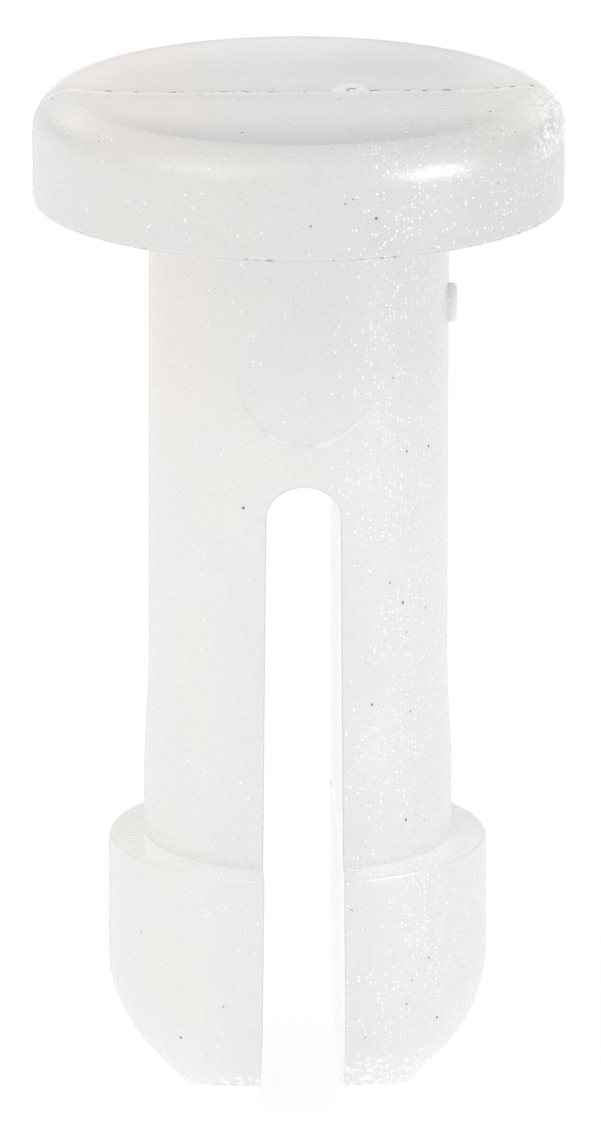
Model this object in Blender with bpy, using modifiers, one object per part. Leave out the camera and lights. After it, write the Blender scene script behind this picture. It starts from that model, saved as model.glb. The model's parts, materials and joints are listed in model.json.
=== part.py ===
"""Snap-in wall anchor with a dished head, a split shank and two barbed legs.

The real anchor is one nylon moulding. Here its members are separate solids: the head, the
solid shank, the two spring legs on either side of the slot, and the barb at the end of each
leg. The legs hinge where the slot begins, which is where the moulding bends when the barbs are
pinched together.

Frame: metres, +Z up along the anchor's axis, the origin on that axis in the plane of the head's
underside, which is the plane of the wall. The slot lies between the legs, across +X and -X.
"""

import math

import bmesh
import bpy
from mathutils import Matrix, Vector

MM = 0.001

# Head, with a rounded crown around a shallow dish
HEAD_RADIUS = 5.65 * MM
HEAD_HEIGHT = 2.25 * MM
HEAD_EDGE_RADIUS = 0.10 * MM
CROWN_WIDTH = 0.86 * MM
CROWN_HEIGHT = 0.92 * MM
DISH_DEPTH = 0.30 * MM
NECK_LENGTH = 0.60 * MM

# Shank and legs
SHANK_RADIUS = 3.175 * MM
LEG_FLARE = 0.10 * MM
FLARE_LENGTH = 2.70 * MM
FLARE_TO_SHOULDER = 1.30 * MM

# Slot between the legs, wider at the tips than at its crown
SLOT_WIDTH = 1.65 * MM
SLOT_TIP_WIDTH = 1.78 * MM
SLOT_DEPTH = 5.57 * MM

# Barbs, each with a flat shoulder, a straight side and a rounded nose
SHOULDER_DEPTH = 14.10 * MM
BARB_STEP = 0.755 * MM
BARB_EDGE_RADIUS = 0.08 * MM
BARB_SIDE_LENGTH = 2.50 * MM
BARB_STUB_LENGTH = 0.60 * MM
NOSE_ROUND = 3.00 * MM
NOSE_SLOPE = math.radians(45)
TIP_SETBACK = 1.48 * MM

# What is left of the moulding gate, on the right of the shank
GATE_RADIUS = 0.42 * MM
GATE_HEIGHT = 0.21 * MM
GATE_EDGE_RADIUS = 0.08 * MM
GATE_DEPTH = 2.42 * MM

# Clearance between one solid and the next
SEAM = 0.30 * MM

# Fineness of the turned shapes
TURN_STEPS = 96
MERGE_DISTANCE = 0.001 * MM
DISH_POINTS = 9
CROWN_POINTS = 9
NOSE_POINTS = 9
EDGE_POINTS = 4
ARCH_SIDES = 64
GATE_SIDES = 32
SHARP_ANGLE = math.radians(32)

# Colour and roughness of each member: natural nylon, whiter where it is thin
FINISHES = {
    "head": ((0.80, 0.80, 0.79), 0.38),
    "shank": ((0.83, 0.83, 0.82), 0.40),
    "leg_left": ((0.84, 0.84, 0.83), 0.42),
    "leg_right": ((0.84, 0.84, 0.83), 0.42),
    "barb_left": ((0.82, 0.82, 0.81), 0.40),
    "barb_right": ((0.82, 0.82, 0.81), 0.40),
}

# Sizes that follow from the ones above
LEG_FOOT_RADIUS = SHANK_RADIUS + LEG_FLARE
BARB_RADIUS = LEG_FOOT_RADIUS + BARB_STEP
SPRING_LINE_DEPTH = SLOT_DEPTH + SLOT_WIDTH / 2
SHANK_FOOT_DEPTH = SPRING_LINE_DEPTH - SEAM / 2
LEG_TOP_DEPTH = SPRING_LINE_DEPTH + SEAM / 2
LEG_FOOT_DEPTH = SHOULDER_DEPTH - BARB_STUB_LENGTH - SEAM
FLARE_END_DEPTH = SHOULDER_DEPTH - FLARE_TO_SHOULDER
NOSE_START_DEPTH = SHOULDER_DEPTH + BARB_SIDE_LENGTH
ROUND_SETBACK = NOSE_ROUND * (1 - math.cos(NOSE_SLOPE))
ROUND_LENGTH = NOSE_ROUND * math.sin(NOSE_SLOPE)
SLOPE_LENGTH = (TIP_SETBACK - ROUND_SETBACK) / math.tan(NOSE_SLOPE)
TIP_DEPTH = NOSE_START_DEPTH + ROUND_LENGTH + SLOPE_LENGTH
SLOT_DRAFT = math.atan((SLOT_TIP_WIDTH - SLOT_WIDTH) / 2 / (TIP_DEPTH - SPRING_LINE_DEPTH))
CUTTER_SIZE = 4 * TIP_DEPTH


def segment_centroid(radius, chord_offset):
    """Distance from a circle's centre to the middle of the slice beyond a chord."""
    half_chord = math.sqrt(radius**2 - chord_offset**2)
    area = radius**2 * math.acos(chord_offset / radius) - chord_offset * half_chord
    return 2 * half_chord**3 / (3 * area)


# Each leg bends about the middle of its own section
HINGE_OFFSET = segment_centroid(SHANK_RADIUS, SLOT_WIDTH / 2)


def clear_scene():
    for obj in list(bpy.data.objects):
        bpy.data.objects.remove(obj, do_unlink=True)


def make_collection(name):
    collection = bpy.data.collections.new(name)
    bpy.context.scene.collection.children.link(collection)
    return collection


def move_to(obj, collection):
    for old in list(obj.users_collection):
        old.objects.unlink(obj)
    collection.objects.link(obj)


def make_material(name):
    colour, roughness = FINISHES[name]
    material = bpy.data.materials.new(name + "_nylon")
    material.use_nodes = True
    shader = material.node_tree.nodes["Principled BSDF"]
    shader.inputs["Base Color"].default_value = (*colour, 1)
    shader.inputs["Roughness"].default_value = roughness
    shader.inputs["Metallic"].default_value = 0
    material.diffuse_color = (*colour, 1)
    return material


def arc(centre, radii, start, end, count):
    """Points (radius, height) on an elliptical arc between two angles in degrees."""
    points = []
    for step in range(count):
        angle = math.radians(start + (end - start) * step / (count - 1))
        radius = centre[0] + radii[0] * math.cos(angle)
        height = centre[1] + radii[1] * math.sin(angle)
        points.append((radius, height))
    return points


def turned(name, outline, collection):
    """A solid turned about Z from points (radius, height) that run down its outer side."""
    mesh = bpy.data.meshes.new(name)
    shape = bmesh.new()
    corners = [shape.verts.new((radius, 0, height)) for radius, height in outline]
    for upper, lower in zip(corners, corners[1:]):
        shape.edges.new((upper, lower))
    shape.to_mesh(mesh)
    shape.free()
    obj = bpy.data.objects.new(name, mesh)
    collection.objects.link(obj)
    screw = obj.modifiers.new("turn", "SCREW")
    screw.axis = "Z"
    screw.angle = math.tau
    screw.steps = TURN_STEPS
    screw.render_steps = TURN_STEPS
    screw.use_merge_vertices = True
    screw.merge_threshold = MERGE_DISTANCE
    return obj


def as_cutter(obj, collection):
    move_to(obj, collection)
    obj.hide_render = True
    obj.display_type = "WIRE"
    return obj


def boolean(obj, other, operation):
    modifier = obj.modifiers.new(operation.lower(), "BOOLEAN")
    modifier.object = other
    modifier.operation = operation
    modifier.solver = "EXACT"


def settle(obj):
    """Apply the modifiers, then shade the round faces smooth and keep the corners sharp."""
    depsgraph = bpy.context.evaluated_depsgraph_get()
    mesh = bpy.data.meshes.new_from_object(obj.evaluated_get(depsgraph))
    obj.modifiers.clear()
    obj.data = mesh
    mesh.name = obj.name
    mesh.materials.clear()
    mesh.materials.append(make_material(obj.name))
    mesh.shade_smooth()
    mesh.set_sharp_from_angle(angle=SHARP_ANGLE)


def make_head(collection):
    """The dished disc, with a short neck below it that carries its underside."""
    crest_radius = HEAD_RADIUS - CROWN_WIDTH
    crown_centre = (crest_radius, HEAD_HEIGHT - CROWN_HEIGHT)
    edge_centre = (HEAD_RADIUS - HEAD_EDGE_RADIUS, HEAD_EDGE_RADIUS)
    outline = []
    for step in range(DISH_POINTS):
        radius = crest_radius * step / DISH_POINTS
        rise = (1 - math.cos(math.pi * radius / crest_radius)) / 2
        outline.append((radius, HEAD_HEIGHT - DISH_DEPTH * (1 - rise)))
    outline += arc(crown_centre, (CROWN_WIDTH, CROWN_HEIGHT), 90, 0, CROWN_POINTS)
    outline += arc(edge_centre, (HEAD_EDGE_RADIUS, HEAD_EDGE_RADIUS), 0, -90, EDGE_POINTS)
    outline.append((SHANK_RADIUS, 0))
    outline.append((SHANK_RADIUS, -NECK_LENGTH))
    outline.append((0, -NECK_LENGTH))
    return turned("head", outline, collection)


def make_gate(collection):
    """The gate's stub: a short round post on the shank's side with a softened rim."""
    buried = SHANK_RADIUS / 2
    bpy.ops.mesh.primitive_cylinder_add(
        vertices=GATE_SIDES,
        radius=GATE_RADIUS,
        depth=buried + GATE_HEIGHT,
        location=(SHANK_RADIUS - buried / 2 + GATE_HEIGHT / 2, 0, -GATE_DEPTH),
        rotation=(0, math.pi / 2, 0),
    )
    gate = as_cutter(bpy.context.object, collection)
    gate.name = "gate_stub"
    rim = gate.modifiers.new("rim", "BEVEL")
    rim.width = GATE_EDGE_RADIUS
    rim.segments = 2
    return gate


def make_shank(collection, cutters):
    """The solid part of the shank, down to where the slot's arch ends."""
    top = -NECK_LENGTH - SEAM
    outline = [
        (0, top),
        (SHANK_RADIUS, top),
        (SHANK_RADIUS, -SHANK_FOOT_DEPTH),
        (0, -SHANK_FOOT_DEPTH),
    ]
    shank = turned("shank", outline, collection)
    bpy.ops.mesh.primitive_cylinder_add(
        vertices=ARCH_SIDES,
        radius=SLOT_WIDTH / 2,
        depth=4 * SHANK_RADIUS,
        location=(0, 0, -SPRING_LINE_DEPTH),
        rotation=(math.pi / 2, 0, 0),
    )
    arch = as_cutter(bpy.context.object, cutters)
    arch.name = "slot_arch"
    boolean(shank, make_gate(cutters), "UNION")
    boolean(shank, arch, "DIFFERENCE")
    return shank


def make_side_cutter(side, cutters):
    """A block that takes away the slot and everything beyond it, seen from one leg."""
    bpy.ops.mesh.primitive_cube_add(size=CUTTER_SIZE)
    cutter = as_cutter(bpy.context.object, cutters)
    cutter.name = "slot_wall_right" if side > 0 else "slot_wall_left"
    cutter.data.transform(Matrix.Translation((-side * CUTTER_SIZE / 2, 0, 0)))
    cutter.location = (side * SLOT_WIDTH / 2, 0, -SPRING_LINE_DEPTH)
    cutter.rotation_euler = (0, -side * SLOT_DRAFT, 0)
    return cutter


def make_leg(side, collection):
    """The leg's round outside; its flat slot wall is cut afterwards."""
    outline = [
        (0, -LEG_TOP_DEPTH),
        (SHANK_RADIUS, -LEG_TOP_DEPTH),
        (SHANK_RADIUS, -FLARE_END_DEPTH + FLARE_LENGTH),
        (LEG_FOOT_RADIUS, -FLARE_END_DEPTH),
        (LEG_FOOT_RADIUS, -LEG_FOOT_DEPTH),
        (0, -LEG_FOOT_DEPTH),
    ]
    return turned("leg_right" if side > 0 else "leg_left", outline, collection)


def make_barb(side, collection):
    """The barb: a stub of the leg, the flat shoulder, the side and the rounded nose."""
    stub_top = -SHOULDER_DEPTH + BARB_STUB_LENGTH
    edge_centre = (BARB_RADIUS - BARB_EDGE_RADIUS, -SHOULDER_DEPTH - BARB_EDGE_RADIUS)
    nose_centre = (BARB_RADIUS - NOSE_ROUND, -NOSE_START_DEPTH)
    outline = [(0, stub_top), (LEG_FOOT_RADIUS, stub_top), (LEG_FOOT_RADIUS, -SHOULDER_DEPTH)]
    outline += arc(edge_centre, (BARB_EDGE_RADIUS, BARB_EDGE_RADIUS), 90, 0, EDGE_POINTS)
    slope_end = -math.degrees(NOSE_SLOPE)
    outline += arc(nose_centre, (NOSE_ROUND, NOSE_ROUND), 0, slope_end, NOSE_POINTS)
    outline.append((BARB_RADIUS - TIP_SETBACK, -TIP_DEPTH))
    outline.append((0, -TIP_DEPTH))
    return turned("barb_right" if side > 0 else "barb_left", outline, collection)


def make_side(side, collection, cutters):
    """One leg and its barb, hung from an empty on the axis that they bend about."""
    hinge = bpy.data.objects.new("hinge_right" if side > 0 else "hinge_left", None)
    hinge.location = (side * HINGE_OFFSET, 0, -SPRING_LINE_DEPTH)
    collection.objects.link(hinge)
    cutter = make_side_cutter(side, cutters)
    members = [make_leg(side, collection), make_barb(side, collection)]
    for member in members:
        member.parent = hinge
        member.location = -Vector(hinge.location)
        boolean(member, cutter, "DIFFERENCE")
    return members


def main():
    clear_scene()
    anchor = make_collection("wall_anchor")
    cutters = make_collection("cutters")
    members = [make_head(anchor), make_shank(anchor, cutters)]
    members += make_side(-1, anchor, cutters)
    members += make_side(1, anchor, cutters)
    for member in members:
        settle(member)


main()
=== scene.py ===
"""Looks of a snap-in nylon wall anchor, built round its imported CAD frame.

The anchor is one moulding in natural nylon: a dished head, a round shank, and two sprung legs
that end in barbs. Each member here stands for the CAD member of the same name.
"""

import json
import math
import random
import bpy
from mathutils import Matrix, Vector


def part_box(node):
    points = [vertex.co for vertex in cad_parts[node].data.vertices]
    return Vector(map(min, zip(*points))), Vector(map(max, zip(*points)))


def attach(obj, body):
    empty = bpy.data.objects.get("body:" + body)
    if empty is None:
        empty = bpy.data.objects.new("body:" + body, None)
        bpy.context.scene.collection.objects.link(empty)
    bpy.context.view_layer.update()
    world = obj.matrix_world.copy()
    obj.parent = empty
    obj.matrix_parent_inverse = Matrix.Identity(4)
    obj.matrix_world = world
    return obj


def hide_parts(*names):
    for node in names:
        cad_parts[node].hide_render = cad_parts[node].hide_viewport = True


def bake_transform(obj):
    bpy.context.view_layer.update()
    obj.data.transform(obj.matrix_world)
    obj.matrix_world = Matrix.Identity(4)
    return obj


bl_info = {
    "name": "Split Wall Anchor",
    "version": (1, 0, 0),
    "blender": (4, 5, 0),
    "location": "View3D > Sidebar > Anchor",
    "description": "Builds a split wall anchor in natural nylon round its CAD frame",
    "category": "Add Mesh",
}

import bmesh
import bpy
from bpy.props import FloatProperty, FloatVectorProperty, PointerProperty
from mathutils import Matrix, Quaternion, Vector

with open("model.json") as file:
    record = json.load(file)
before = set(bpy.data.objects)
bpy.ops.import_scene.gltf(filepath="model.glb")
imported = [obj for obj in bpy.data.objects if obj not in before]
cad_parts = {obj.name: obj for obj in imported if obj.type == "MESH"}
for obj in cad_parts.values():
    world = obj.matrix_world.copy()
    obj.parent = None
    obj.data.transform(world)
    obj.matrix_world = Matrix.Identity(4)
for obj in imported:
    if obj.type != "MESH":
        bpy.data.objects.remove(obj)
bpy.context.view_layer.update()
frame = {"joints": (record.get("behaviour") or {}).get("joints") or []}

MM = 0.001

# Sizes that the CAD frame fixes
HEAD_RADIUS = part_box("head")[1].x
HEAD_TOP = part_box("head")[1].z
SHANK_RADIUS = -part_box("shank")[0].x
SPRING_Z = frame["joints"][0]["pos_m"][2]
LEG_FOOT_RADIUS = -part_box("leg_left")[0].x
BARB_RADIUS = -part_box("barb_left")[0].x
TIP_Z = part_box("barb_left")[0].z

# The head's underside lies a little below the CAD's, and the powers shape its crown
UNDERSIDE_Z = -0.09 * MM
CROWN_POWERS = (2.1, 2.55)

# The mould's halves met on a line a little behind the axis, where a flake of flash lies
PARTING_Y = 0.20 * MM
FLAKE_X = 1.12 * MM
FLAKE_GAP = 0.02 * MM
FLAKE_RADII = (0.40 * MM, 0.72 * MM)

# Marks on the shank: the middle of the ejector's mark, and the gate
MARK_X = 0.07 * MM
MARK_DROP = 3.24 * MM
GATE_Z = -2.42 * MM
GATE_RADIUS = 0.42 * MM
GATE_BURIED = 0.18 * MM

# Half widths of the slot at its arch and at the tips, and how high the arch rises
SLOT_HALF = 0.79 * MM
SLOT_TIP_HALF = 0.895 * MM
ARCH_RISE = 0.725 * MM
FLARE_START_Z = -10.10 * MM
FLARE_END_Z = -12.80 * MM

SHOULDER_Z = -14.10 * MM
BARB_SIDE = 2.60 * MM
NOSE_ROUND = 3.00 * MM
NOSE_SLOPE = math.radians(45)
TIP_SETBACK = 1.48 * MM
# The nose ends in a low ridge along X, whose faces rise to the front and the back
NOSE_END_Z = TIP_Z - 0.17 * MM
RIDGE_Z = TIP_Z - 0.42 * MM
END_STEEPNESS = 0.267

# Each side: its sign along X, its name and the body that moves it
SIDES = ((-1, "left", "left_leg"), (1, "right", "right_leg"))

# Points closer than WELD are one, and corners of more than SHARP_ANGLE stay sharp
WELD = 0.0001 * MM
SHARP_ANGLE = math.radians(34)

# Tones that the nylon's own colours are mixed with
WHITE = (1.0, 1.0, 1.0)
BLACK = (0.0, 0.0, 0.0)
PINK = (0.88, 0.80, 0.76)
STRAW = (0.84, 0.81, 0.73)
SLOT_SHADE_GREY = (0.60, 0.61, 0.64)
LIP_SHADE_GREY = (0.50, 0.48, 0.46)
GRAIN_GREY = (0.30, 0.29, 0.28)
MARK_GREY = (0.50, 0.53, 0.58)
RIM_SHADE_GREY = (0.42, 0.40, 0.38)
PAINTED_GLOW_WHITE = (1.0, 0.985, 0.96)


# ---------------------------------------------------------------- settings


def length(name, description, default):
    return FloatProperty(
        name=name,
        description=description,
        default=default,
        min=0,
        soft_max=0.02,
        precision=5,
        subtype="DISTANCE",
        unit="LENGTH",
    )


def share(name, description, default):
    return FloatProperty(
        name=name, description=description, default=default, min=0, max=1, subtype="FACTOR"
    )


def bearing(name, description, default):
    return FloatProperty(name=name, description=description, default=default, subtype="ANGLE")


def colour(name, description, default):
    return FloatVectorProperty(
        name=name, description=description, default=default, size=3, min=0, max=1, subtype="COLOR"
    )


class AnchorHeadSettings(bpy.types.PropertyGroup):
    crown_width: length("Crown width", "How far in the rounded rim reaches", 0.86 * MM)
    crown_height: length("Crown height", "How far down the rounded rim reaches", 0.93 * MM)
    edge: length("Lower edge", "Rounding of the rim's lower edge", 0.03 * MM)
    dish_depth: length("Dish depth", "Depth of the dish below the crest", 0.44 * MM)
    dish_power: FloatProperty(
        name="Dish shape", description="Higher is flatter in the middle", default=6.5, min=1, max=8
    )
    line_share: share("Depth on the line", "Share of the depth along the parting line", 0.24)
    front_share: share("Depth in front", "Share of the depth that is added in front", 0.76)
    back_share: share("Depth behind", "Share of the depth that is added behind", 0.22)
    spine_width: length("Spine width", "Distance over which that is added", 2.3 * MM)
    parting_offset: length("Parting offset", "Distance of the line behind the axis", PARTING_Y)


class AnchorShankSettings(bpy.types.PropertyGroup):
    slot_edge: length("Slot edge", "Rounding of the slot's edges", 0.05 * MM)
    mark_radius: length("Ejector mark radius", "Radius of the ejector's mark", 1.54 * MM)
    mark_depth: length("Ejector mark depth", "Depth of the ejector's mark", 0.05 * MM)
    mark_edge: length("Ejector mark edge", "Width of the mark's sloping edge", 0.07 * MM)
    mark_drop: length("Ejector mark drop", "Distance of the mark below the head", MARK_DROP)
    flash: length("Flash", "Height of the parting flash", 0.025 * MM)
    flash_width: length("Flash width", "Half width of the parting flash", 0.045 * MM)


class AnchorBarbSettings(bpy.types.PropertyGroup):
    edge: length("Shoulder edge", "Rounding of the barb's shoulder", 0.08 * MM)
    tip_edge: length("Tip edge", "Rounding of the tip's edges", 0.06 * MM)


class AnchorFinishSettings(bpy.types.PropertyGroup):
    body: colour("Body", "Colour of the nylon", (0.822, 0.812, 0.795))
    cool: colour("Cool patches", "Colour of the cooler patches", (0.806, 0.810, 0.814))
    thick_and_shaded: colour("Thick nylon", "Colour where the nylon is thick", (0.66, 0.65, 0.635))
    speck: colour("Specks", "Colour of the dark specks", (0.16, 0.15, 0.14))
    roughness: share("Roughness", "Mean roughness", 0.28)
    grain: share("Grain", "Strength of the fine grain", 0.35)


class AnchorStageSettings(bpy.types.PropertyGroup):
    floor: colour("Floor", "Colour of the floor", (0.16, 0.16, 0.16))
    azimuth: bearing("Azimuth", "Camera's turn round the anchor", math.radians(-2.2))
    elevation: bearing("Elevation", "Camera's height above the horizon", math.radians(15.15))
    distance: length("Distance", "From the camera to the anchor", 0.4)
    lens: FloatProperty(
        name="Lens", description="Focal length in millimetres", default=598.0, min=50
    )


# ---------------------------------------------------------------- shader maths


class Value:
    """A number that changes over a surface; sums on it add Math nodes."""

    def __init__(self, sheet, socket):
        self.sheet = sheet
        self.socket = socket

    def sum(self, operation, *terms):
        settings = {"operation": operation}
        return self.sheet.value("ShaderNodeMath", settings, dict(enumerate(terms)))

    def __add__(self, other):
        return self.sum("ADD", self, other)

    __radd__ = __add__

    def __sub__(self, other):
        return self.sum("SUBTRACT", self, other)

    def __rsub__(self, other):
        return self.sum("SUBTRACT", other, self)

    def __mul__(self, other):
        return self.sum("MULTIPLY", self, other)

    def __pow__(self, other):
        return self.sum("POWER", self, other)

    def __abs__(self):
        return self.sum("ABSOLUTE", self)

    def under(self, limit):
        return self.sum("LESS_THAN", self, limit)

    def largest(self, other):
        return self.sum("MAXIMUM", self, other)

    def ramp(self, low, high):
        """0 at low, 1 at high, smooth between; low may be the larger."""
        settings = {"interpolation_type": "SMOOTHSTEP", "clamp": True}
        made = self.sheet.node(
            "ShaderNodeMapRange", settings, {"Value": self, "From Min": low, "From Max": high}
        )
        return Value(self.sheet, made.outputs["Result"])


class NodeSheet:
    """The node tree of a material or a world, with a method that adds any node."""

    def __init__(self, owner):
        self.owner = owner
        owner.use_nodes = True
        self.tree = owner.node_tree
        self.tree.nodes.clear()

    def node(self, kind, settings=None, inputs=None):
        made = self.tree.nodes.new(kind)
        for key, setting in (settings or {}).items():
            setattr(made, key, setting)
        for key, given in (inputs or {}).items():
            self.feed(made.inputs[key], given)
        return made

    def feed(self, socket, given):
        """Link a value or a socket to an input, or set a constant on it."""
        if isinstance(given, Value):
            given = given.socket
        if isinstance(given, bpy.types.NodeSocket):
            self.tree.links.new(given, socket)
        else:
            socket.default_value = given

    def value(self, kind, settings=None, inputs=None, output=0):
        return Value(self, self.node(kind, settings, inputs).outputs[output])

    def place(self):
        """The object's own coordinates, in millimetres."""
        where = self.node("ShaderNodeTexCoord").outputs["Object"]
        settings = {"operation": "SCALE"}
        return self.node("ShaderNodeVectorMath", settings, {0: where, "Scale": 1000.0}).outputs[0]

    def noise(self, where, per_mm, detail=2.0, roughness=0.5):
        inputs = {"Vector": where, "Scale": per_mm, "Detail": detail, "Roughness": roughness}
        return self.value("ShaderNodeTexNoise", None, inputs, "Fac")

    def cells(self, where, per_mm):
        """Distance to the nearest of scattered points, and a number for each point."""
        inputs = {"Vector": where, "Scale": per_mm}
        made = self.node("ShaderNodeTexVoronoi", {"feature": "F1"}, inputs)
        settings = {"mode": "RGB"}
        split = self.node("ShaderNodeSeparateColor", settings, {"Color": made.outputs["Color"]})
        return Value(self, made.outputs["Distance"]), Value(self, split.outputs["Red"])

    def axes(self, vector):
        """The three parts of a vector."""
        split = self.node("ShaderNodeSeparateXYZ", None, {0: vector})
        return [Value(self, split.outputs[axis]) for axis in "XYZ"]

    def mix(self, factor, first, second):
        """Colour between two colours, as a socket."""
        first, second = (
            (*given, 1) if isinstance(given, tuple) else given for given in (first, second)
        )
        inputs = {0: factor, 6: first, 7: second}
        return self.node("ShaderNodeMix", {"data_type": "RGBA"}, inputs).outputs[2]

    def surface(self, inputs):
        """End the tree with a principled shader."""
        shader = self.node("ShaderNodeBsdfPrincipled", None, inputs)
        self.node("ShaderNodeOutputMaterial", None, {"Surface": shader.outputs["BSDF"]})


class Spot:
    """Where a point of the surface lies, in millimetres, and the textures it is mixed from."""

    def __init__(self, sheet):
        self.sheet = sheet
        self.where = sheet.place()
        self.across, self.depth, self.height = sheet.axes(self.where)
        self.aside, _, self.upward = sheet.axes(sheet.node("ShaderNodeTexCoord").outputs["Normal"])
        self.right_share = self.across.ramp(-0.5, 2.0)
        self.mottle = self.noise(1.3, 2.0, 0.5)
        self.grain = self.noise(14.0, 3.0, 0.65)
        self.sugar = self.noise(34.0, 2.0, 0.6)

    def noise(self, per_mm, detail, roughness):
        return self.sheet.noise(self.where, per_mm, detail, roughness)

    def specks(self, per_mm, size, chance):
        """A mask of round dots, of which only a few cells have one. Size is a share of a cell."""
        distance, lot = self.sheet.cells(self.where, per_mm)
        return distance.ramp(size, size * 0.45) * lot.under(chance)


def body_tint_and_shade(spot, finish):
    """Warmer to the left, cooler in patches and to the right, darker where thick, plus painted
    shade and light.
    """
    across, depth, height = spot.across, spot.depth, spot.height
    mix = spot.sheet.mix
    cooler = (spot.noise(0.22, 3.0, 0.55) + across * 0.035).ramp(0.40, 0.64)
    tint = mix(cooler, tuple(finish.body), tuple(finish.cool))

    on_top = height.ramp(1.7, 1.9)
    left = across.ramp(-0.8, -3.5) * across.ramp(-5.3, -4.2)
    high_shank = height.ramp(-6.0, -3.0) * height.ramp(-0.1, -0.2)
    tint = mix(left * (high_shank + on_top) * 0.5, tint, PINK)
    straw = across.ramp(2.6, 4.2) * on_top * depth.ramp(1.4, 0.0)
    tint = mix(straw * 0.5, tint, STRAW)
    # Painted shade: greyer beside the slot, below the arch
    slot_shade = abs(across).ramp(2.3, 1.0) * height.ramp(-5.8, -9.0)
    tint = mix(slot_shade * 0.14, tint, SLOT_SHADE_GREY)

    # Darker where the nylon is thick, with painted shade that grows to the right
    thick_and_shaded = height.ramp(-9.0, 0.4) * (across * 0.03 + 0.33) + height.ramp(-0.05, 0.02) * 0.33
    # Painted light: the top is lighter away from its front lip, most towards its ends
    crest = height.ramp(1.85, 2.1) * depth.ramp(-4.4, -1.5)
    thick_and_shaded = thick_and_shaded - crest * (abs(across).ramp(2.0, 4.8) * 0.1 + 0.54)
    # Painted shade: a darker patch on the right of the dish, towards the back
    dimmed = ((across - 2.4) ** 2.0 + (depth - 3.1) ** 2.0).ramp(4.2, 0.2) * height.ramp(1.0, 1.6)
    tint = mix(thick_and_shaded + dimmed * 0.30, tint, tuple(finish.thick_and_shaded))
    # Painted shade: the dish is darkest just behind its front lip
    reach = across**2.0 + depth**2.0
    lip_shade = reach.ramp(2.5, 9.0) * reach.ramp(23.2, 21.6) * depth.ramp(-0.8, -2.6)
    return mix(lip_shade * height.ramp(1.5, 1.7) * 0.13, tint, LIP_SHADE_GREY)


def ejector_masks(spot):
    """Masks of the ejector's mark and of the broken light along its lower edge."""
    off_mark = (spot.across - MARK_X / MM) ** 2.0 + (spot.height + MARK_DROP / MM) ** 2.0
    front = spot.depth.ramp(-2.0, -2.4)
    edge = off_mark.ramp(2.12, 2.25) * off_mark.ramp(2.44, 2.34) * spot.height.ramp(-4.0, -4.4)
    broken = spot.noise(1.3, 1.0, 0.5).ramp(0.44, 0.52)
    return off_mark.ramp(2.40, 2.10) * front, edge * front * broken


def flake_light_mask(spot):
    """The thin flake on the dish, with painted light that makes it whiter than what lies round it.
    """
    across = (spot.across - FLAKE_X / MM) * 2.4
    behind = (spot.depth - (PARTING_Y + FLAKE_GAP) / MM) * 1.35
    inside = (across**2.0 + behind**2.0).ramp(1.0, 0.9)
    return inside * spot.depth.ramp(0.20, 0.24) * spot.height.ramp(1.6, 1.9)


def dark_marks_and_rim_shade(spot):
    """Painted shade on the rim under the head, and the dark: specks, and broken dark marks in that
    rim and just behind the parting line.
    """
    dark = spot.specks(1.5, 0.070, spot.right_share * 0.24 + 0.12)
    fine_dark = spot.specks(2.3, 0.080, spot.right_share * 0.34 + 0.14)
    rim = spot.height.ramp(-0.02, -0.06) * spot.height.ramp(-0.30, -0.20)
    crease = rim * spot.noise(3.0, 2.0, 0.7).ramp(0.56, 0.68)
    along = abs(spot.depth - (PARTING_Y / MM + 0.10)).ramp(0.13, 0.07)
    line = along * spot.height.ramp(0.8, 1.2) * spot.noise(4.2, 1.0, 0.5).ramp(0.59, 0.63)
    both = dark.largest(fine_dark * 0.75)
    return rim, both.largest(crease * 0.55).largest(line * 0.85)


def pit_and_glint_mask(spot):
    """Pits with painted glints, more of them to the right, and painted glints in rough white marks
    on the tips and the crown.
    """
    across, depth, height = spot.across, spot.depth, spot.height
    crowd = across.ramp(0.2, 2.0) * depth.ramp(1.0, -1.0) * 0.9 + 0.05
    patches = spot.noise(0.9, 2.0, 0.6).ramp(0.32, 0.56)
    distance, lot = spot.sheet.cells(spot.where, 12.0)
    pit_and_glint = distance.ramp(0.42, 0.20) * lot.under(crowd * patches * 0.40) * 0.85
    ragged = spot.noise(6.5, 3.0, 0.7)
    above_end = height - (abs(depth) * END_STEEPNESS + RIDGE_Z / MM) - spot.right_share * 0.45
    # Painted glints in rough white marks along the tips' ends
    torn = above_end.ramp(0.35, 0.0) * ragged.ramp(0.50, 0.60)
    crown_glints = across.ramp(4.6, 5.2) * depth.ramp(0.4, -0.6) * height.ramp(1.2, 1.5)
    return pit_and_glint.largest(torn).largest(crown_glints * ragged.ramp(0.44, 0.60) * 0.9)


def painted_inner_glow(spot, pit_and_glint, stub, arc_light):
    """Painted light: emission for light spread inside the nylon, most above the shoulders, and
    painted glints on the pits.
    """
    across, depth, height = spot.across, spot.depth, spot.height
    corner = height.ramp(-13.3, -13.9) * height.ramp(-14.14, -14.08)
    ledge = height.ramp(-14.16, -14.09) * height.ramp(-13.9, -14.05) * spot.upward.ramp(0.3, 0.9)
    undercut = height.ramp(-3.2, -0.2) * height.ramp(-0.10, -0.14)
    ends = abs(across).ramp(3.2, 4.9) * height.ramp(1.8, 2.1) * depth.ramp(-3.5, -1.5)
    behind = height.ramp(1.7, 1.95) * depth.ramp(0.25, 1.0)
    strength = (
        corner * 0.03
        + ledge * (depth.ramp(-3.2, -1.0) * 0.09 + 0.03)
        + undercut * 0.06
        + pit_and_glint * 0.07
        + behind * 0.04
        + ends * 0.06
        + stub * 0.03
        + arc_light * 0.02
        + 0.05
    )
    return spot.sheet.mix(strength, BLACK, PAINTED_GLOW_WHITE)


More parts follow.
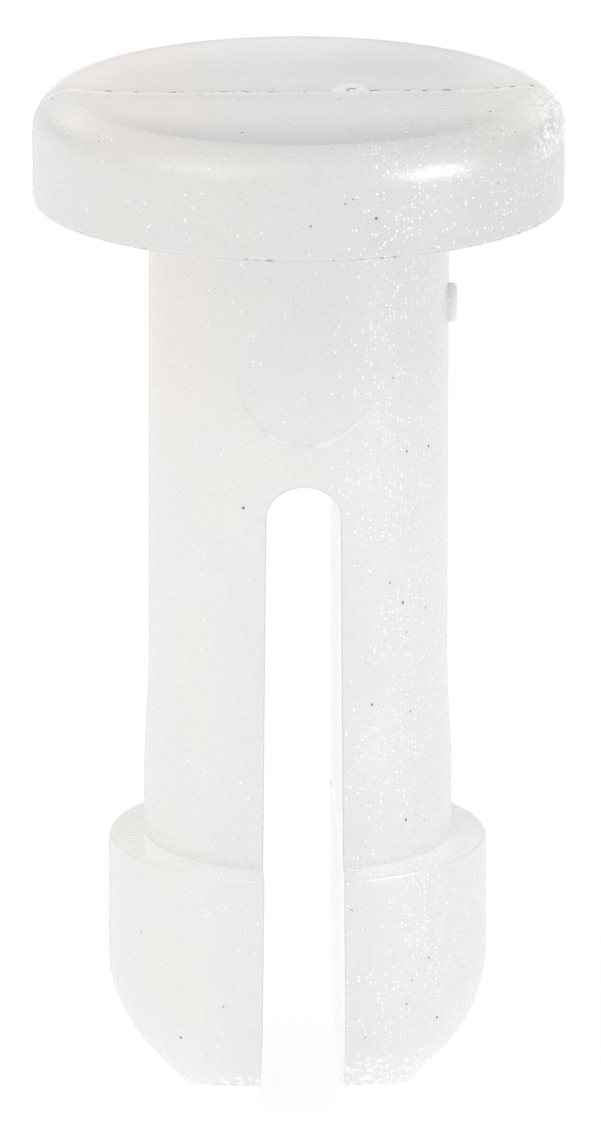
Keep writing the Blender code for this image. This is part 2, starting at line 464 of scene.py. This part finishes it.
def make_nylon(finish):
    """Natural nylon: milky, faintly mottled, with a satin grain, a few pits and dark specks, and
    painted light and shade.
    """
    sheet = NodeSheet(bpy.data.materials.new("natural_nylon"))
    spot = Spot(sheet)
    across, height, upward = spot.across, spot.height, spot.upward
    mottle, grain, sugar = spot.mottle, spot.grain, spot.sugar

    # Lighter or darker by a hair from place to place
    frost = sheet.cells(spot.where, 34.0)[1]
    shade = (mottle - 0.5) * 0.05 + (grain - 0.5) * 0.04
    shade = shade + (sugar - 0.5) * 0.20 + (frost - 0.5) * 0.12
    # Painted shade and light come in with the body's tint, and painted light makes the flake
    # whiter
    toned = sheet.mix((shade * -1.0).largest(0.0), body_tint_and_shade(spot, finish), GRAIN_GREY)
    toned = sheet.mix(shade.largest(0.0) * 1.6 + flake_light_mask(spot) * 0.75, toned, WHITE)

    mark, arc_light = ejector_masks(spot)
    toned = sheet.mix(mark * 0.03, toned, MARK_GREY)
    # Painted light: the gate stub is whiter, and a painted highlight lies along the mark's lower
    # edge
    stub = across.ramp(3.20, 3.30) * height.ramp(-4.0, -3.5) * height.ramp(-1.0, -1.5)
    toned = sheet.mix((arc_light * 0.35).largest(stub * 0.25), toned, WHITE)
    rim, dark = dark_marks_and_rim_shade(spot)
    # Painted shade on the rim under the head
    toned = sheet.mix(rim * 0.22, toned, RIM_SHADE_GREY)
    toned = sheet.mix(dark, toned, tuple(finish.speck))
    # Painted glints on the pits and on the tips and the crown
    pit_and_glint = pit_and_glint_mask(spot)
    toned = sheet.mix(pit_and_glint * 0.95, toned, WHITE)

    # The slot's walls are drawn smooth by the blade that forms them
    in_slot = abs(spot.aside).largest(upward * -1.0).ramp(0.5, 0.75)
    smooth = abs(across).ramp(0.95, 0.90) * height.ramp(-5.2, -5.6) * in_slot
    rough = finish.roughness + (mottle - 0.5) * 0.08 + (grain - 0.5) * 0.10 - pit_and_glint * 0.15

    # Orange peel, grain and pits, in millimetres
    fine = grain * (0.015 * finish.grain) + sugar * (0.012 * finish.grain)
    fine = fine * (1 - smooth * 0.95) * (1 - upward.ramp(0.6, 0.9) * 0.6)
    relief = spot.noise(2.2, 2.0, 0.5) * 0.010 + fine - pit_and_glint * 0.006
    bump = sheet.node(
        "ShaderNodeBump", None, {"Strength": 1.0, "Distance": 1.0 * MM, "Height": relief}
    )
    sheet.surface(
        {
            "Base Color": toned,
            "Roughness": rough - smooth * 0.20,
            "IOR": 1.53,
            # Painted light: an inner glow and glints as emission
            "Emission Color": painted_inner_glow(spot, pit_and_glint, stub, arc_light),
            "Emission Strength": 1.0,
            "Normal": bump.outputs["Normal"],
        }
    )
    return sheet.owner


def nylon():
    found = bpy.data.materials.get("natural_nylon")
    return found or make_nylon(bpy.context.scene.anchor_finish)


# ---------------------------------------------------------------- mesh helpers


def arc(centre, radii, start, end, steps):
    """Points (radius, height) on an elliptical arc between two angles in radians."""
    points = []
    for step in range(steps + 1):
        angle = start + (end - start) * step / steps
        radius = centre[0] + radii[0] * math.cos(angle)
        points.append((radius, centre[1] + radii[1] * math.sin(angle)))
    return points


def superellipse(centre, radii, powers, steps):
    """Points from the top of a squarish quarter round to its side."""
    points = []
    for step in range(steps + 1):
        angle = math.pi / 2 * (1 - step / steps)
        radius = centre[0] + radii[0] * max(math.cos(angle), 0) ** (2 / powers[0])
        height = centre[1] + radii[1] * max(math.sin(angle), 0) ** (2 / powers[1])
        points.append((radius, height))
    return points


def turn(bm, outline, steps):
    """Turn points (radius, height) once round the Z axis."""
    corners = [bm.verts.new((radius, 0, height)) for radius, height in outline]
    edges = [bm.edges.new(pair) for pair in zip(corners, corners[1:])]
    bmesh.ops.spin(
        bm,
        geom=corners + edges,
        cent=(0, 0, 0),
        axis=(0, 0, 1),
        angle=math.tau,
        steps=steps,
        use_merge=True,
    )
    bmesh.ops.remove_doubles(bm, verts=bm.verts, dist=WELD)


def laid_grid(bm, columns, rows, place):
    """A grid of quads whose crossing of column i and row j is put at place(i, j)."""
    made = bmesh.ops.create_grid(bm, x_segments=columns, y_segments=rows, size=0.5)["verts"]
    for vert in made:
        i = round((vert.co.x + 0.5) * columns)
        j = round((vert.co.y + 0.5) * rows)
        vert.co = place(i, j)
    return made


def fill_holes(bm):
    open_edges = [edge for edge in bm.edges if edge.is_boundary]
    bmesh.ops.holes_fill(bm, edges=open_edges, sides=0)


def close_up(bm):
    """Weld the seams, cap the open ends and point every face outwards."""
    bmesh.ops.remove_doubles(bm, verts=bm.verts, dist=WELD)
    fill_holes(bm)
    bmesh.ops.recalc_face_normals(bm, faces=bm.faces)


def round_edges(bm, edges, width, segments, clamp):
    bmesh.ops.bevel(
        bm,
        geom=edges,
        offset=width,
        offset_type="OFFSET",
        segments=segments,
        profile=0.5,
        affect="EDGES",
        clamp_overlap=clamp,
        material=-1,
    )


def raised_disc(bm, segments, radius, rise):
    """A short post that stands on the origin; returns the face on its top in a list."""
    bmesh.ops.create_circle(bm, cap_ends=True, segments=segments, radius=radius)
    out = bmesh.ops.extrude_face_region(bm, geom=bm.faces[:])["geom"]
    raised = [item for item in out if isinstance(item, bmesh.types.BMVert)]
    bmesh.ops.translate(bm, verts=raised, vec=(0, 0, rise))
    return [item for item in out if isinstance(item, bmesh.types.BMFace)]


def finish_piece(name, bm, material=None):
    """Turn a bmesh into an object at the origin, smooth but for its real corners."""
    mesh = bpy.data.meshes.new(name)
    bm.to_mesh(mesh)
    bm.free()
    mesh.shade_smooth()
    mesh.set_sharp_from_angle(angle=SHARP_ANGLE)
    mesh.materials.append(material or nylon())
    piece = bpy.data.objects.new(name, mesh)
    bpy.context.scene.collection.objects.link(piece)
    return piece


# ---------------------------------------------------------------- head


def head_outline(head):
    """The head's half section: dish, crest, rounded rim, side and flat underside."""
    crest = HEAD_RADIUS - head.crown_width
    rings = 36
    outline = [(crest * ring / rings, HEAD_TOP) for ring in range(rings)]
    centre = (crest, HEAD_TOP - head.crown_height)
    outline += superellipse(centre, (head.crown_width, head.crown_height), CROWN_POWERS, 22)
    side_top = outline[-1][1]
    low = UNDERSIDE_Z + head.edge
    outline += [(HEAD_RADIUS, side_top + (low - side_top) * step / 4) for step in range(1, 4)]
    round_centre = (HEAD_RADIUS - head.edge, low)
    outline += arc(round_centre, (head.edge, head.edge), 0, -math.pi / 2, 5)
    under = (HEAD_RADIUS * 0.94, SHANK_RADIUS * 1.1, SHANK_RADIUS * 0.9, 0)
    outline += [(radius, UNDERSIDE_Z) for radius in under]
    return outline


def dish_drop(head, x, y):
    """How far the dish lies below the crest; it sank more on either side of the parting line."""
    crest = HEAD_RADIUS - head.crown_width
    reach = min(math.hypot(x, y) / crest, 1)
    bowl = head.dish_depth * (1 - reach**head.dish_power)
    off_line = (y - head.parting_offset) / head.spine_width
    sunk = 1 - math.exp(-(off_line**2))
    share_here = head.front_share if off_line < 0 else head.back_share
    return bowl * (head.line_share + share_here * sunk)


def top_height(head, x, y):
    """Height of the head's top over a point, from the dish out to its side."""
    crest = HEAD_RADIUS - head.crown_width
    reach = math.hypot(x, y)
    if reach <= crest:
        return HEAD_TOP - dish_drop(head, x, y)
    across = min((reach - crest) / head.crown_width, 1)
    rise = max(1 - across ** CROWN_POWERS[0], 0) ** (1 / CROWN_POWERS[1])
    return HEAD_TOP - head.crown_height * (1 - rise)


def build_head(head):
    bm = bmesh.new()
    turn(bm, head_outline(head), 256)
    crest = HEAD_RADIUS - head.crown_width
    for vert in bm.verts:
        if vert.co.z > HEAD_TOP - WELD and math.hypot(vert.co.x, vert.co.y) < crest:
            vert.co.z = top_height(head, vert.co.x, vert.co.y)
    bmesh.ops.recalc_face_normals(bm, faces=bm.faces)
    piece = finish_piece("head_body", bm)
    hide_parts("head")
    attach(piece, "root")


def build_head_flash(head):
    """The thin bead of flash where the mould's halves met, over the top and down both sides."""
    back = head.parting_offset
    reach = math.sqrt(HEAD_RADIUS**2 - back**2)
    path = [(-reach, UNDERSIDE_Z + head.edge), (-reach, top_height(head, -HEAD_RADIUS, 0) * 0.5)]
    steps = 150
    for step in range(steps + 1):
        x = -reach * math.cos(math.pi * step / steps)
        path.append((x, top_height(head, x, back)))
    path += [(-x, z) for x, z in reversed(path[:2])]
    draw = random.Random(7)
    heights = [0.014 * MM + 0.016 * MM * draw.random() for _ in path]
    half = 0.040 * MM
    foot = -0.03 * MM
    # Distance aside, and the share of the bead's height or, for its buried feet, a depth
    bead = ((-half, foot), (-half * 0.45, 0.6), (0, 1.0), (half * 0.45, 0.6), (half, foot))

    def place(i, j):
        x, z = path[i]
        before, after = path[max(i - 1, 0)], path[min(i + 1, len(path) - 1)]
        along = Vector((after[0] - before[0], 0, after[1] - before[1])).normalized()
        out = Vector((-along.z, 0, along.x))
        aside, lift = bead[j % len(bead)]
        raised = lift * heights[i] if lift > 0 else lift
        return Vector((x, back + aside, z)) + out * raised

    bm = bmesh.new()
    laid_grid(bm, len(path) - 1, len(bead), place)
    close_up(bm)
    piece = finish_piece("head_parting_flash", bm)
    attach(piece, "root")


def build_head_flake(head):
    """The thin half-moon flake of flash that lies on the dish just behind the parting line."""
    bm = bmesh.new()
    cap = raised_disc(bm, 40, 1.0, 1.0)
    bmesh.ops.inset_region(bm, faces=cap, thickness=0.22)
    front = head.parting_offset + FLAKE_GAP
    for vert in bm.verts:
        x = FLAKE_X + vert.co.x * FLAKE_RADII[0]
        y = front + (vert.co.y + 0.05) * FLAKE_RADII[1] if vert.co.y > 0 else front
        inside = math.hypot(vert.co.x, vert.co.y) < 0.95
        if vert.co.z < 0.5:
            rise = -0.03 * MM
        else:
            rise = 0.05 * MM if inside else 0.02 * MM
        vert.co = (x, y, top_height(head, x, y) + rise)
    bmesh.ops.recalc_face_normals(bm, faces=bm.faces)
    piece = finish_piece("head_flash_flake", bm)
    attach(piece, "root")


# ---------------------------------------------------------------- shank


def spaced(low, high, step):
    """Numbers from low up to but not including high, about one step apart."""
    count = max(1, round((high - low) / step))
    return [low + (high - low) * number / count for number in range(count)]


def side_angles():
    """Angles from the front round to the side, close together at the mark and at the flash."""
    angles = spaced(0, 32, 0.9) + spaced(32, 88.2, 3.0) + spaced(88.2, 90, 0.22) + [90]
    return [math.radians(angle) for angle in angles]


def flash_rise(shank, radius, angle_off):
    """Height of the parting flash at an angle away from its own line."""
    return shank.flash * math.exp(-((radius * angle_off / shank.flash_width) ** 2))


def mark_dent(shank, x, z):
    """Depth of the ejector's mark on the front of the shank; the pin pressed harder below."""
    across, above = x - MARK_X, z + shank.mark_drop
    inside = (shank.mark_radius - math.hypot(across, above)) / shank.mark_edge
    inside = min(max(inside, 0), 1)
    lean = 0.55 - 0.45 * (above * 0.94 + across * 0.34) / shank.mark_radius
    return shank.mark_depth * min(max(lean, 0), 1) * inside * inside * (3 - 2 * inside)


def build_shank(shank):
    """The shank down to the spring line: a round wall with an arch cut through it."""
    right = side_angles()
    angles = [-angle for angle in reversed(right[1:])] + right
    top_columns = len(angles) - 1
    side_columns = 10
    arch_columns = top_columns + 2 * side_columns
    ceiling = -4.90 * MM
    rows = [0, 0.10] + spaced(0.15, 0.97, 0.05) + [0.9712, 0.9796, 0.9868, 0.9916, 0.9958, 1]
    levels = spaced(ceiling, -1.4 * MM, 0.045 * MM) + spaced(-1.4 * MM, 0, 0.18 * MM) + [0]

    def wall(angle, z, front):
        """A point on the round wall; the angle runs to the right from the front or the back."""
        radius = SHANK_RADIUS + flash_rise(shank, SHANK_RADIUS, math.pi / 2 - abs(angle))
        if front:
            radius -= mark_dent(shank, radius * math.sin(angle), z)
        deep = radius * math.cos(angle)
        return Vector((radius * math.sin(angle), -deep if front else deep, z))

    def rim(i):
        """Angle and height on the outside of the arch's grid, from right to left."""
        if i <= side_columns:
            return math.pi / 2, SPRING_Z + (ceiling - SPRING_Z) * i / side_columns
        if i >= arch_columns - side_columns:
            left = arch_columns - i
            return -math.pi / 2, SPRING_Z + (ceiling - SPRING_Z) * left / side_columns
        return angles[top_columns - (i - side_columns)], ceiling

    corner = math.radians(17)

    def arch(i):
        """X and height on the arch, from right to left."""
        if i <= side_columns:
            turned = corner * i / side_columns
        elif i >= arch_columns - side_columns:
            turned = math.pi - corner * (arch_columns - i) / side_columns
        else:
            turned = corner + (math.pi - 2 * corner) * (i - side_columns) / top_columns
        return SLOT_HALF * math.cos(turned), SPRING_Z + ARCH_RISE * math.sin(turned)

    def round_arch(i, j, front):
        x, z = arch(i)
        angle = math.asin(x / SHANK_RADIUS)
        far_angle, far_z = rim(i)
        return wall(angle + (far_angle - angle) * rows[j], z + (far_z - z) * rows[j], front)

    soffit_rows = 18

    def soffit(i, j):
        x, z = arch(i)
        deep = math.sqrt(SHANK_RADIUS**2 - x**2)
        return Vector((x, -deep + 2 * deep * j / soffit_rows, z))

    bm = bmesh.new()
    for front in (True, False):
        laid_grid(bm, arch_columns, len(rows) - 1, lambda i, j: round_arch(i, j, front))
        laid_grid(bm, top_columns, len(levels) - 1, lambda i, j: wall(angles[i], levels[j], front))
    laid_grid(bm, arch_columns, soffit_rows, soffit)
    bmesh.ops.remove_doubles(bm, verts=bm.verts, dist=WELD)
    bmesh.ops.recalc_face_normals(bm, faces=bm.faces)
    bm.normal_update()
    arch_edges = [
        edge
        for edge in bm.edges
        if len(edge.link_faces) == 2 and edge.calc_face_angle() > math.radians(50)
    ]
    round_edges(bm, arch_edges, shank.slot_edge * 1.3, segments=4, clamp=False)
    close_up(bm)
    piece = finish_piece("shank_body", bm)
    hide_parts("shank")
    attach(piece, "root")


def build_gate_stub():
    """What is left of the gate: a short post on the right with a torn, uneven end."""
    bm = bmesh.new()
    cap = raised_disc(bm, 40, GATE_RADIUS, 0.33 * MM)
    for inset, rise in ((0.06, 0.05), (0.10, -0.012), (0.12, 0.008)):
        bmesh.ops.inset_region(bm, faces=cap, thickness=inset * MM, depth=rise * MM)
    draw = random.Random(19)
    for vert in bm.verts:
        if vert.co.z > 0.3 * MM:
            vert.co.z += (draw.random() - 0.7) * 0.018 * MM
    sideways = Matrix.Rotation(math.pi / 2, 3, "Y")
    bmesh.ops.rotate(bm, verts=bm.verts, cent=(0, 0, 0), matrix=sideways)
    bmesh.ops.translate(bm, verts=bm.verts, vec=(SHANK_RADIUS - GATE_BURIED, 0, GATE_Z))
    bmesh.ops.recalc_face_normals(bm, faces=bm.faces)
    piece = finish_piece("shank_gate_stub", bm)
    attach(piece, "root")


# ---------------------------------------------------------------- legs and barbs


def slot_wall(z):
    """Distance of the slot's wall from the axis at a height."""
    return SLOT_HALF + (SLOT_TIP_HALF - SLOT_HALF) * (SPRING_Z - z) / (SPRING_Z - TIP_Z)


def section_plan():
    """The stations round a leg's section: along the flat wall, round the edges and the outside."""
    plan = [("wall", step / 16) for step in range(16)]
    plan += [("back_edge", step / 5) for step in range(5)]
    outer = [-1 + (1 - 0.03) * step / 40 for step in range(40)]
    outer += [-0.03 + 0.03 * step / 8 for step in range(8)]
    plan += [("outside", share_out) for share_out in outer]
    plan += [("outside", -share_out) for share_out in [0] + outer[:0:-1]]
    plan += [("front_edge", step / 5) for step in range(6)]
    return plan


def section_point(station, side, radius, wall, shank):
    """A point of a leg's section: a round outside, a flat slot wall and rounded edges."""
    kind, along = station
    edge = shank.slot_edge
    centre_x = wall + edge
    centre_y = math.sqrt((radius - edge) ** 2 - centre_x**2)
    reach = math.atan2(centre_y, centre_x)
    if kind == "wall":
        x, y = wall, -centre_y + 2 * centre_y * along
    elif kind == "back_edge":
        angle = math.pi + (reach - math.pi) * along
        x, y = centre_x + edge * math.cos(angle), centre_y + edge * math.sin(angle)
    elif kind == "front_edge":
        angle = -reach + (reach - math.pi) * along
        x, y = centre_x + edge * math.cos(angle), -centre_y + edge * math.sin(angle)
    else:
        angle = -along * reach
        lifted = radius + flash_rise(shank, radius, angle)
        x, y = lifted * math.cos(angle), lifted * math.sin(angle)
    return side * x, y


def half_mesh(side, outline, shank):
    """A solid lofted down through sections at the points (radius, height) of an outline."""
    plan = section_plan()

    def place(i, j):
        radius, z = outline[j]
        x, y = section_point(plan[i % len(plan)], side, radius, slot_wall(z), shank)
        return Vector((x, y, z))

    bm = bmesh.new()
    laid_grid(bm, len(plan), len(outline) - 1, place)
    close_up(bm)
    return bm


def finish_half(name, bm):
    """Give the flat ends a rim, so that their shading stays flat, and make the object."""
    caps = [face for face in bm.faces if len(face.verts) > 8]
    bmesh.ops.inset_individual(bm, faces=caps, thickness=0.03 * MM)
    return finish_piece(name, bm)


def cut_end(bm, barb):
    """Cut the nose's end to its low ridge and round the edges of the cut."""
    for side in (-1, 1):
        bmesh.ops.bisect_plane(
            bm,
            geom=bm.verts[:] + bm.edges[:] + bm.faces[:],
            dist=WELD,
            plane_co=(0, 0, RIDGE_Z),
            plane_no=(0, side * END_STEEPNESS, -1),
            clear_outer=True,
        )
        fill_holes(bm)
    bmesh.ops.recalc_face_normals(bm, faces=bm.faces)
    bm.normal_update()
    ends = {face for face in bm.faces if len(face.verts) > 8 and face.normal.z < -0.9}
    edges = [
        edge
        for edge in bm.edges
        if ends.intersection(edge.link_faces) and edge.calc_face_angle(0) > math.radians(25)
    ]
    round_edges(bm, edges, barb.tip_edge * 0.5, segments=3, clamp=True)
    close_up(bm)


def leg_outline():
    """Points (radius, height) down the leg's outside, with its slight flare."""
    outline = [(SHANK_RADIUS, z) for z in spaced(SPRING_Z, FLARE_START_Z, -0.25 * MM)]
    for step in spaced(0, 1, 0.08):
        eased = step * step * (3 - 2 * step)
        z = FLARE_START_Z + (FLARE_END_Z - FLARE_START_Z) * step
        outline.append((SHANK_RADIUS + (LEG_FOOT_RADIUS - SHANK_RADIUS) * eased, z))
    outline += [(LEG_FOOT_RADIUS, z) for z in spaced(FLARE_END_Z, SHOULDER_Z, -0.3 * MM)]
    outline.append((LEG_FOOT_RADIUS, SHOULDER_Z))
    return outline


def barb_outline(barb):
    """Points (radius, height) down the barb's outside, to below where its end is cut."""
    edge = barb.edge
    outline = arc((BARB_RADIUS - edge, SHOULDER_Z - edge), (edge, edge), math.pi / 2, 0, 5)
    nose_top = SHOULDER_Z - BARB_SIDE
    outline += [(BARB_RADIUS, z) for z in spaced(outline[-1][1], nose_top, -0.3 * MM)[1:]]
    nose_centre = (BARB_RADIUS - NOSE_ROUND, nose_top)
    outline += arc(nose_centre, (NOSE_ROUND, NOSE_ROUND), 0, -NOSE_SLOPE, 16)
    last_radius, last_z = outline[-1]
    tip_radius = BARB_RADIUS - TIP_SETBACK
    for step in spaced(0, 1.6, 0.2)[1:]:
        radius = last_radius + (tip_radius - last_radius) * step
        outline.append((radius, last_z + (NOSE_END_Z - last_z) * step))
    return outline


def build_legs(shank):
    for side, label, body in SIDES:
        piece = finish_half("leg_" + label + "_body", half_mesh(side, leg_outline(), shank))
        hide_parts("leg_" + label)
        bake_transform(piece)


def build_barbs(shank, barb):
    for side, label, body in SIDES:
        bm = half_mesh(side, barb_outline(barb), shank)
        cut_end(bm, barb)
        piece = finish_half("barb_" + label + "_body", bm)
        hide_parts("barb_" + label)
        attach(piece, body)


# ---------------------------------------------------------------- stage


FLOOR_GAP = 0.01 * MM
LIGHT_TARGET = Vector((0, 0, -6 * MM))
CAMERA_TARGET = Vector((0.05 * MM, 0, -8.15 * MM))
CAMERA_ROLL = math.radians(0.12)


def aim(obj, azimuth, elevation, distance, target):
    """Put a light or camera at a direction from a target and face it there."""
    back = Vector(
        (
            math.sin(azimuth) * math.cos(elevation),
            -math.cos(azimuth) * math.cos(elevation),
            math.sin(elevation),
        )
    )
    obj.location = target + back * distance
    obj.rotation_mode = "QUATERNION"
    obj.rotation_quaternion = (-back).to_track_quat("-Z", "Y")


def make_floor(stage):
    """A pale floor just below the tips, lit from within and duller far away."""
    sheet = NodeSheet(bpy.data.materials.new("studio_floor"))
    inputs = {0: sheet.place()}
    reach = sheet.value("ShaderNodeVectorMath", {"operation": "LENGTH"}, inputs, "Value")
    far = reach.ramp(400.0, 1400.0)
    sheet.surface(
        {
            "Base Color": sheet.mix(far, tuple(stage.floor), (0.12, 0.12, 0.12)),
            "Roughness": 0.9,
            "Specular IOR Level": 0.0,
            "Emission Color": sheet.mix(far, WHITE, (0.60, 0.60, 0.60)),
            "Emission Strength": 0.88,
        }
    )
    bm = bmesh.new()
    bmesh.ops.create_grid(bm, x_segments=2, y_segments=2, size=3.0)
    bmesh.ops.translate(bm, verts=bm.verts, vec=(0, 0, RIDGE_Z - FLOOR_GAP))
    floor = finish_piece("studio_floor", bm, sheet.owner)


def make_light(name, azimuth, elevation, distance, size, brightness, tint, card=False):
    """A soft rectangular light, whose brightness is that of its face against a white of 1.

    A card shows only in reflections.
    """
    lamp = bpy.data.lights.new(name, "AREA")
    lamp.shape = "RECTANGLE"
    lamp.size, lamp.size_y = size
    lamp.energy = brightness * math.pi * size[0] * size[1]
    lamp.color = tint
    obj = bpy.data.objects.new(name, lamp)
    obj.visible_diffuse = not card
    obj.visible_camera = False
    bpy.context.scene.collection.objects.link(obj)
    aim(obj, math.radians(azimuth), math.radians(elevation), distance, LIGHT_TARGET)


def make_world():
    """White air all round, duller low down behind the anchor, and white at the horizon."""
    sheet = NodeSheet(bpy.data.worlds.new("studio_air"))
    right, back, up = sheet.axes(sheet.node("ShaderNodeTexCoord").outputs["Generated"])
    dimmed = back.ramp(0.1, 0.8) * up.ramp(0.55, 0.15) * 0.38 + right.ramp(-0.2, 0.9) * 0.10
    tone = sheet.mix(dimmed, (0.68, 0.68, 0.68), BLACK)
    tone = sheet.mix(up.ramp(0.10, 0.04), tone, (0.97, 0.97, 0.97))
    background = sheet.node("ShaderNodeBackground", None, {"Color": tone, "Strength": 1.0})
    sheet.node("ShaderNodeOutputWorld", None, {"Surface": background.outputs[0]})
    bpy.context.scene.world = sheet.owner


def make_camera(stage):
    lens = bpy.data.cameras.new("studio_camera")
    lens.sensor_width = 36
    lens.lens = stage.lens
    lens.clip_start = 0.01
    lens.clip_end = 50
    camera = bpy.data.objects.new("studio_camera", lens)
    bpy.context.scene.collection.objects.link(camera)
    aim(camera, stage.azimuth, stage.elevation, stage.distance, CAMERA_TARGET)
    camera.rotation_quaternion @= Quaternion((0, 0, 1), CAMERA_ROLL)
    bpy.context.scene.camera = camera


# ---------------------------------------------------------------- operators


class ANCHOR_OT_head(bpy.types.Operator):
    """Build the dished head with its parting flash"""

    bl_idname = "anchor.build_head"
    bl_label = "Build Head"

    def execute(self, context):
        head = context.scene.anchor_head
        build_head(head)
        build_head_flash(head)
        build_head_flake(head)
        return {"FINISHED"}


class ANCHOR_OT_shank(bpy.types.Operator):
    """Build the round shank with the slot's arch, the ejector's mark and the gate stub"""

    bl_idname = "anchor.build_shank"
    bl_label = "Build Shank"

    def execute(self, context):
        build_shank(context.scene.anchor_shank)
        build_gate_stub()
        return {"FINISHED"}


class ANCHOR_OT_legs(bpy.types.Operator):
    """Build the two sprung legs"""

    bl_idname = "anchor.build_legs"
    bl_label = "Build Legs"

    def execute(self, context):
        build_legs(context.scene.anchor_shank)
        return {"FINISHED"}


class ANCHOR_OT_barbs(bpy.types.Operator):
    """Build the barb at the end of each leg"""

    bl_idname = "anchor.build_barbs"
    bl_label = "Build Barbs"

    def execute(self, context):
        build_barbs(context.scene.anchor_shank, context.scene.anchor_barb)
        return {"FINISHED"}


class ANCHOR_OT_stage(bpy.types.Operator):
    """Set up the floor, the soft lights and the camera"""

    bl_idname = "anchor.build_stage"
    bl_label = "Build Stage"

    def execute(self, context):
        stage = context.scene.anchor_stage
        make_floor(stage)
        make_light("key_softbox", 69, 42, 0.50, (0.46, 0.38), 0.85, (0.99, 0.995, 1.0))
        make_light("fill_softbox", -42, 45, 0.60, (0.50, 0.42), 1.1, (1.0, 0.98, 0.95))
        make_light("right_card", 59, 11, 0.55, (0.19, 0.17), 20.0, (1.0, 1.0, 1.0), card=True)
        make_light("left_card", -50, 24, 0.60, (0.40, 0.22), 1.6, (1.0, 1.0, 1.0), card=True)
        make_world()
        make_camera(stage)
        context.scene.view_settings.view_transform = "Standard"
        return {"FINISHED"}


class ANCHOR_PT_sidebar(bpy.types.Panel):
    bl_label = "Split Wall Anchor"
    bl_idname = "ANCHOR_PT_sidebar"
    bl_space_type = "VIEW_3D"
    bl_region_type = "UI"
    bl_category = "Anchor"

    def draw(self, context):
        for operator in BUILDERS:
            self.layout.operator(operator.bl_idname)
        for name in SETTINGS:
            group = getattr(context.scene, name)
            box = self.layout.box()
            for key in group.__annotations__:
                box.prop(group, key)


BUILDERS = (ANCHOR_OT_head, ANCHOR_OT_shank, ANCHOR_OT_legs, ANCHOR_OT_barbs, ANCHOR_OT_stage)
SETTINGS = {
    "anchor_head": AnchorHeadSettings,
    "anchor_shank": AnchorShankSettings,
    "anchor_barb": AnchorBarbSettings,
    "anchor_finish": AnchorFinishSettings,
    "anchor_stage": AnchorStageSettings,
}


def register():
    for group in SETTINGS.values():
        bpy.utils.register_class(group)
    for name, group in SETTINGS.items():
        setattr(bpy.types.Scene, name, PointerProperty(type=group))
    for operator in BUILDERS:
        bpy.utils.register_class(operator)
    bpy.utils.register_class(ANCHOR_PT_sidebar)


def unregister():
    bpy.utils.unregister_class(ANCHOR_PT_sidebar)
    for operator in reversed(BUILDERS):
        bpy.utils.unregister_class(operator)
    for name in reversed(list(SETTINGS)):
        delattr(bpy.types.Scene, name)
        bpy.utils.unregister_class(SETTINGS[name])


def main():
    register()
    bpy.ops.anchor.build_head()
    bpy.ops.anchor.build_shank()
    bpy.ops.anchor.build_legs()
    bpy.ops.anchor.build_barbs()
    bpy.ops.anchor.build_stage()


if __name__ == "__main__":
    main()
